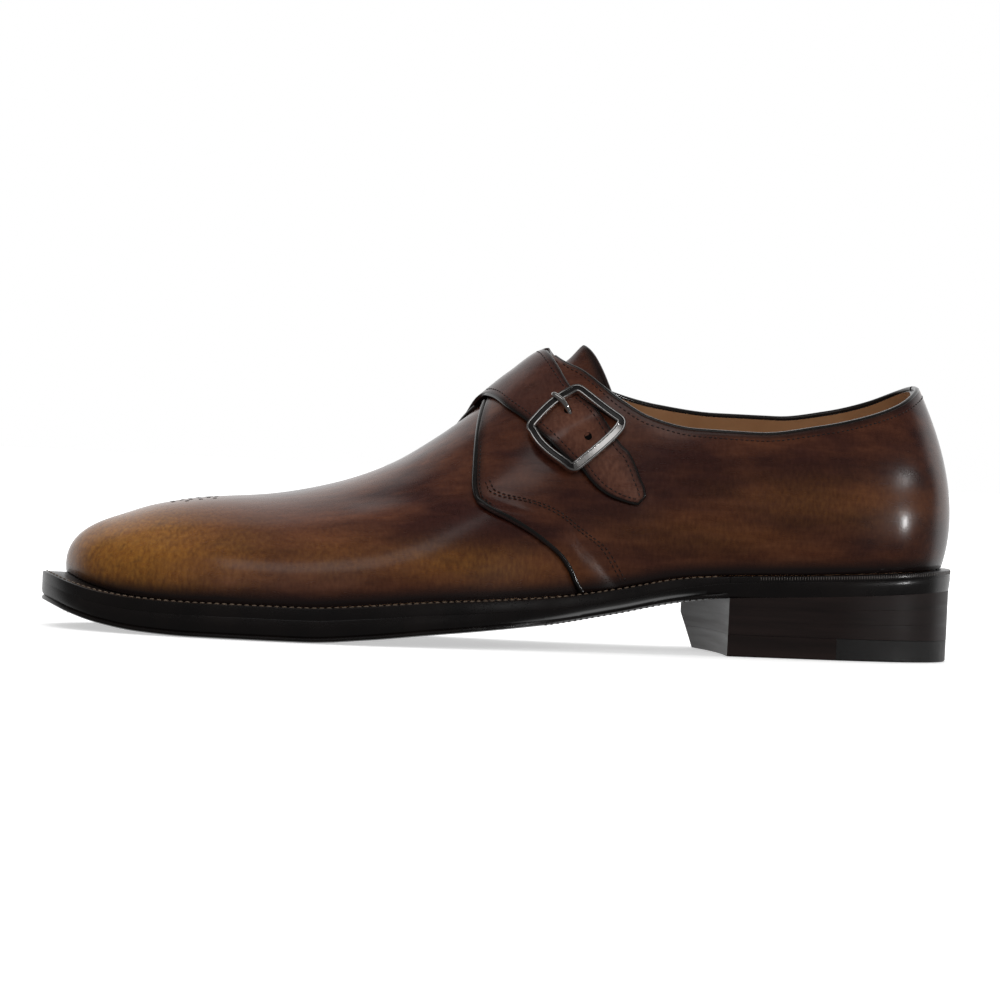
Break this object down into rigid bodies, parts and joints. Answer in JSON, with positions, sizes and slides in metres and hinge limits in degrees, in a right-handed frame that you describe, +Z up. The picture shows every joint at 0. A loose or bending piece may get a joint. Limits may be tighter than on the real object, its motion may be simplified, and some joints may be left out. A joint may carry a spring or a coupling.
{
  "type": "monk strap shoe",
  "caption": "Plain-toe monk strap dress shoe for the left foot, with a buckled strap over the instep, a welted leather sole and a stacked heel.",
  "frame": {"origin": "bottom centre of the bounding box, on the floor that the shoe stands on", "axes": "+X from toe to heel, +Y towards the inner (medial) side of the foot, +Z up"},
  "size_m": [0.31, 0.1034, 0.1],
  "materials": {
    "vamp_leather": "burnished patina, olive tan toe to red-brown",
    "quarter_leather": "burnished patina, red-brown with dark edges",
    "tongue_leather": "smooth, dark brown",
    "dark_leather": "waxed, black-brown",
    "lining_leather": "matt natural leather",
    "sole_leather": "inked and polished",
    "heel_leather": "stacked, waxed edge",
    "heel_rubber": "matt",
    "buckle_metal": "polished gunmetal"
  },
  "bodies": {
    "root": {"upper": "vamp_leather", "quarter_lateral": "quarter_leather", "quarter_medial": "quarter_leather", "tongue": "tongue_leather", "back_strip": "dark_leather", "insole": "lining_leather", "welt": "dark_leather", "heel_rand": "dark_leather", "outsole": "sole_leather", "heel_lift_1": "heel_leather", "heel_lift_2": "heel_leather", "heel_lift_3": "heel_leather", "top_piece_leather": "heel_leather", "top_piece_rubber": "heel_rubber", "buckle_frame": "buckle_metal", "buckle_prong": "buckle_metal"}
  },
  "joints": []
}
